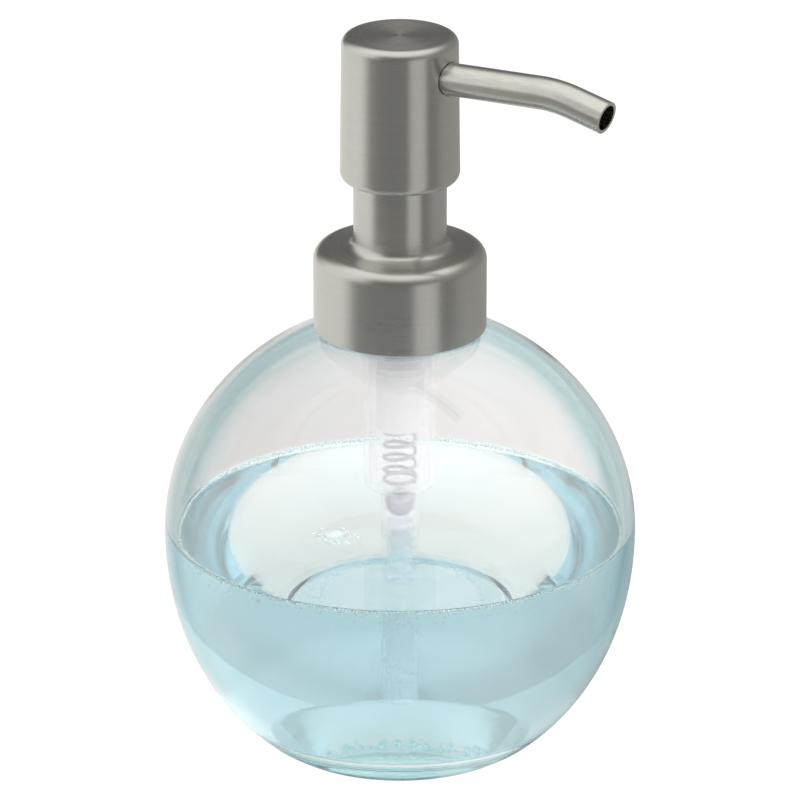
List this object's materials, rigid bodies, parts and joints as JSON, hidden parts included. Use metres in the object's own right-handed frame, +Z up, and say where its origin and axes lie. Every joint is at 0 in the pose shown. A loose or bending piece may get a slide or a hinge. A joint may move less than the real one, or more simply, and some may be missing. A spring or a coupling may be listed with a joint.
{
  "type": "soap pump dispenser",
  "caption": "Round clear glass soap dispenser with a brushed steel press pump: swivelling head, bent spout tube, screw collar, coil spring, ball valve and dip tube.",
  "frame": {"origin": "centre of the bottle's round foot, on the surface it stands on", "axes": "+Z up along the pump and the bottle, +X the way the spout points at rest"},
  "size_m": [0.1024, 0.102, 0.1597],
  "materials": {
    "bottle_glass": "clear, faint green-blue at the edges",
    "soap": "pale teal-blue liquid with fine bubbles along its edge",
    "brushed_steel": "brushed round the axis, spun on the head's top",
    "spout_steel": "finely brushed bent tube",
    "translucent_plastic": "milky moulded polypropylene",
    "white_plastic": "moulded polypropylene",
    "valve_plastic": "moulded polyethylene",
    "seal_rubber": "soft black seal",
    "gasket_foam": "soft white washer",
    "spring_wire": "bright drawn stainless wire",
    "ball_steel": "polished ball"
  },
  "bodies": {
    "bottle": {"bottle": "bottle_glass", "liquid_soap": "soap"},
    "pump_insert": {"bottle_gasket": "gasket_foam", "pump_cylinder": "translucent_plastic", "ball_retainer": "white_plastic", "dip_tube": "translucent_plastic", "return_spring": "spring_wire", "stem_guide": "white_plastic", "stem_wiper": "seal_rubber"},
    "collar": {"collar_shell": "brushed_steel", "screw_cap": "white_plastic"},
    "suction_valve": {"suction_ball": "ball_steel"},
    "plunger": {"poppet": "valve_plastic"},
    "head": {"head_shell": "brushed_steel", "actuator_core": "white_plastic", "spout": "spout_steel", "spout_seal_ring": "seal_rubber", "stem": "valve_plastic"},
    "piston": {"piston": "valve_plastic"}
  },
  "joints": [
    {"name": "collar_rise", "type": "slide", "parent": "bottle", "child": "pump_insert", "axis": [0, 0, 1], "range_m": [0, 0.00634]},
    {"name": "collar_turn", "type": "hinge", "parent": "pump_insert", "child": "collar", "pos_m": [0, 0, 0.1], "axis": [0, 0, 1], "range_deg": [0, 540]},
    {"name": "ball_lift", "type": "slide", "parent": "pump_insert", "child": "suction_valve", "axis": [0, 0, 1], "range_m": [0, 0.0008]},
    {"name": "head_press", "type": "slide", "parent": "pump_insert", "child": "plunger", "axis": [0, 0, -1], "range_m": [0, 0.012], "stiffness_N_per_m": 800, "springref_m": -0.01, "deforming": ["return_spring"]},
    {"name": "spout_swivel", "type": "hinge", "parent": "plunger", "child": "head", "pos_m": [0, 0, 0.145], "axis": [0, 0, 1], "continuous": true},
    {"name": "piston_float", "type": "slide", "parent": "plunger", "child": "piston", "axis": [0, 0, 1], "range_m": [0, 0.0011]}
  ],
  "couplings": [
    {"joint": "collar_turn", "follows": "collar_rise", "rad_per_m": 1485.4}
  ]
}
